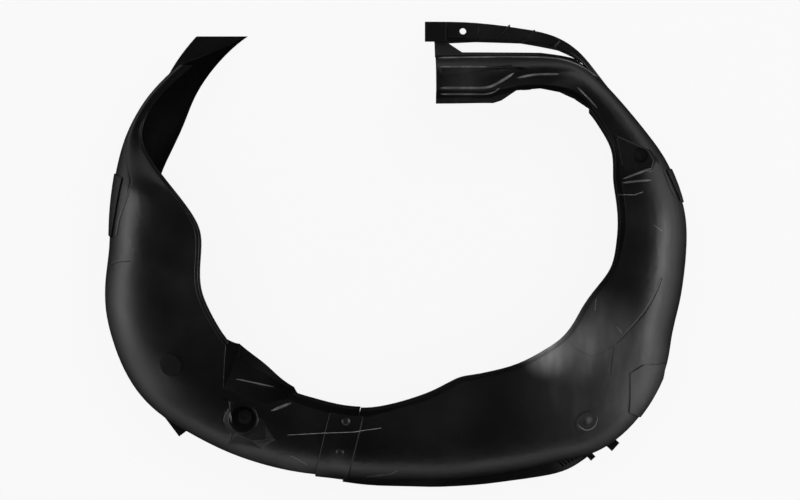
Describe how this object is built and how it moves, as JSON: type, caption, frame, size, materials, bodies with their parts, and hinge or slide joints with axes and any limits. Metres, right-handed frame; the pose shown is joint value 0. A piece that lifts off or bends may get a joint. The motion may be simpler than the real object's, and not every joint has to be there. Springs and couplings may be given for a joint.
{
  "type": "wheel arch liner",
  "caption": "Black moulded wheel guard that lines a wheel arch: a crowned C-shaped shell with a rim flange, riveted lap seam, cupped fixing points, vent slots and a sill strip",
  "frame": {"origin": "middle of the footprint, on the plane of the rim flange's underside", "axes": "+Z is along the wheel's axis, from the rim flange to the crown; +X is along the car, toward the front moulding; +Y is up to the open ends of the C"},
  "size_m": [0.822, 0.6513, 0.227],
  "materials": {
    "liner_plastic": "fine moulded grain, satin",
    "rivet": "moulded plastic rivet, satin"
  },
  "bodies": {
    "root": {"front_section": "liner_plastic", "rear_section": "liner_plastic", "seam_rivets": "rivet"}
  },
  "joints": []
}
